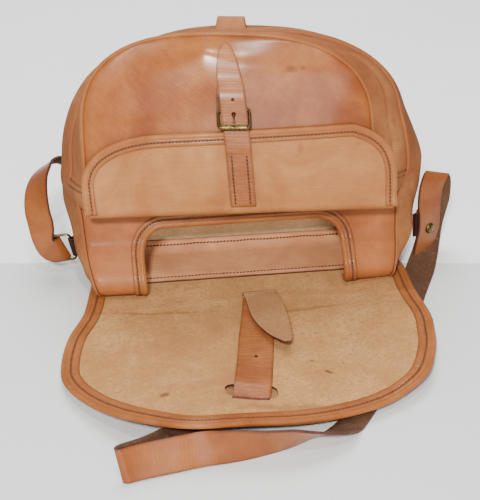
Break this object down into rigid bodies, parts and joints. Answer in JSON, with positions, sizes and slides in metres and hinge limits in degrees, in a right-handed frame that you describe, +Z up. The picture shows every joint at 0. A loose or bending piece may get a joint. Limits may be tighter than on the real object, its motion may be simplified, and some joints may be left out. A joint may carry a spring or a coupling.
{
  "type": "leather shoulder bag",
  "caption": "Soft tan leather shoulder bag standing on its open mouth, flap laid forward flesh side up, with a buckled front pocket, piped seams and a loose shoulder strap",
  "frame": {"origin": "centre of the footprint of the whole part, on the surface it stands on", "axes": "+X across the bag to its right as pictured, -Y towards the viewer and the flap, +Z up"},
  "size_m": [0.4538, 0.4545, 0.2647],
  "materials": {
    "tan_leather": "vegetable-tanned hide, satin",
    "binding_leather": "burnished binding, satin",
    "suede_inside": "rough flesh side, matte",
    "strap_leather": "waxed strap leather, satin",
    "dark_tab_leather": "dark worn leather, matte",
    "aged_brass": "aged, satin"
  },
  "bodies": {
    "root": {"back_panel": "tan_leather", "front_panel": "tan_leather", "main_gusset": "tan_leather", "hinge_strip": "tan_leather", "pocket_front": "tan_leather", "pocket_gusset": "tan_leather", "pocket_flap": "tan_leather", "piping_back": "binding_leather", "piping_body_front": "binding_leather", "piping_pocket": "binding_leather", "cutout_binding": "binding_leather", "flap_binding": "binding_leather", "pocket_flap_binding": "binding_leather", "main_flap": "suede_inside", "pocket_strap": "strap_leather", "buckle_chape": "strap_leather", "closure_strap": "strap_leather", "bottom_loop": "strap_leather", "shoulder_strap_right": "strap_leather", "shoulder_strap_left": "strap_leather", "side_tab_left": "dark_tab_leather", "side_tab_right": "dark_tab_leather", "buckle_frame": "aged_brass", "buckle_roller": "aged_brass", "buckle_prong": "aged_brass", "ring_left": "aged_brass", "ring_right": "aged_brass", "strap_rivet": "aged_brass"}
  },
  "joints": []
}
